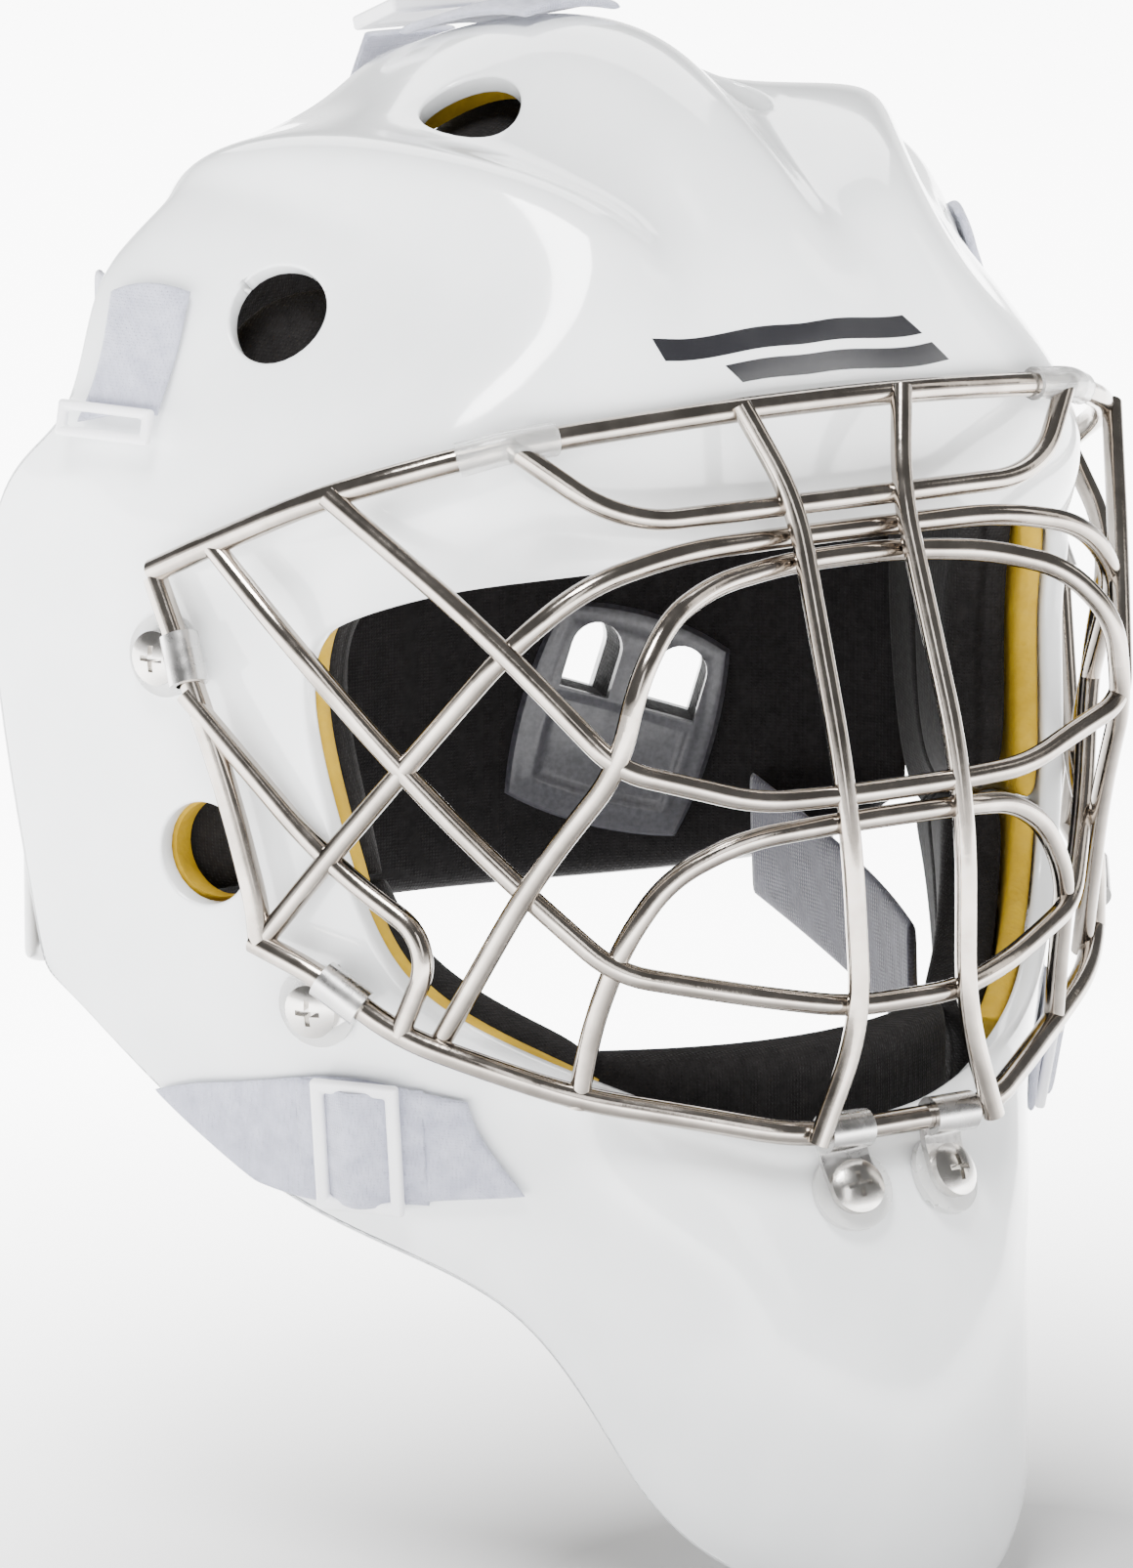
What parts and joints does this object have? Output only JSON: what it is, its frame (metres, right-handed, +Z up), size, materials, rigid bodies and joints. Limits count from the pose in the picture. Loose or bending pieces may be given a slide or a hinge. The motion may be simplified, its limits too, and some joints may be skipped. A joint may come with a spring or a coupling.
{
  "type": "ice hockey goalie mask with wire cage",
  "caption": "Moulded full-head goaltender's mask with a cat-eye wire face cage, padded lining and a hinged back plate held by straps.",
  "frame": {"origin": "middle of the head cavity, on the mask's plane of symmetry", "axes": "+Z up, +X to the wearer's left, the face looks along -Y"},
  "size_m": [0.2302, 0.211, 0.3],
  "materials": {
    "shell": "gloss",
    "rim_steel": "polished",
    "face_steel": "polished",
    "clear_sleeve": "clear",
    "clip_steel": "satin",
    "screw_steel": "satin",
    "washer_plastic": "translucent",
    "liner_foam": "closed-cell foam",
    "pad_foam": "brushed cloth over foam",
    "strap_web": "woven elastic",
    "strap_plastic": "gloss",
    "backplate_plastic": "satin",
    "backplate_foam": "brushed cloth over foam",
    "frame_plastic": "satin",
    "band_web": "woven elastic"
  },
  "bodies": {
    "mask": {"buckle_top": "strap_plastic", "cage_bottom_bar": "rim_steel", "cage_side_bar_left": "rim_steel", "cage_side_bar_right": "rim_steel", "cage_top_bar": "rim_steel", "cage_washers": "washer_plastic", "clip_chin_left": "clip_steel", "clip_chin_right": "clip_steel", "clip_lower_left": "clip_steel", "clip_lower_right": "clip_steel", "clip_side_left": "clip_steel", "clip_side_right": "clip_steel", "liner_left": "liner_foam", "liner_right": "liner_foam", "pad_cheek_left": "pad_foam", "pad_cheek_right": "pad_foam", "pad_chin": "pad_foam", "pad_crown": "pad_foam", "pad_forehead": "pad_foam", "pad_temple_left": "pad_foam", "pad_temple_right": "pad_foam", "screw_chin_left": "screw_steel", "screw_chin_right": "screw_steel", "screw_lower_left": "screw_steel", "screw_lower_right": "screw_steel", "screw_side_left": "screw_steel", "screw_side_right": "screw_steel", "shell": "shell", "sleeve_left": "clear_sleeve", "sleeve_right": "clear_sleeve", "strap_jaw_left": "strap_web", "strap_jaw_right": "strap_web", "strap_loop_left": "strap_plastic", "strap_loop_right": "strap_plastic", "strap_temple_left": "strap_web", "strap_temple_right": "strap_web", "strap_top": "strap_web", "triglide_left": "strap_plastic", "triglide_right": "strap_plastic", "wire_brow": "face_steel", "wire_cheek_left": "face_steel", "wire_cheek_right": "face_steel", "wire_eye_inner": "face_steel", "wire_eye_lower": "face_steel", "wire_eye_outer": "face_steel", "wire_mouth_lower": "face_steel", "wire_mouth_upper": "face_steel", "wire_vertical_left": "face_steel", "wire_vertical_right": "face_steel"},
    "backplate": {"backplate": "backplate_plastic", "backplate_foam": "backplate_foam", "backplate_frame_left": "frame_plastic", "backplate_frame_right": "frame_plastic", "band_jaw_left": "band_web", "band_jaw_right": "band_web", "band_temple_left": "strap_web", "band_temple_right": "strap_web", "band_top": "strap_web"}
  },
  "joints": [
    {"name": "backplate_hinge", "type": "hinge", "parent": "mask", "child": "backplate", "pos_m": [0, 0.0536, 0.1482], "axis": [1, 0, 0], "range_deg": [0, 30]}
  ]
}
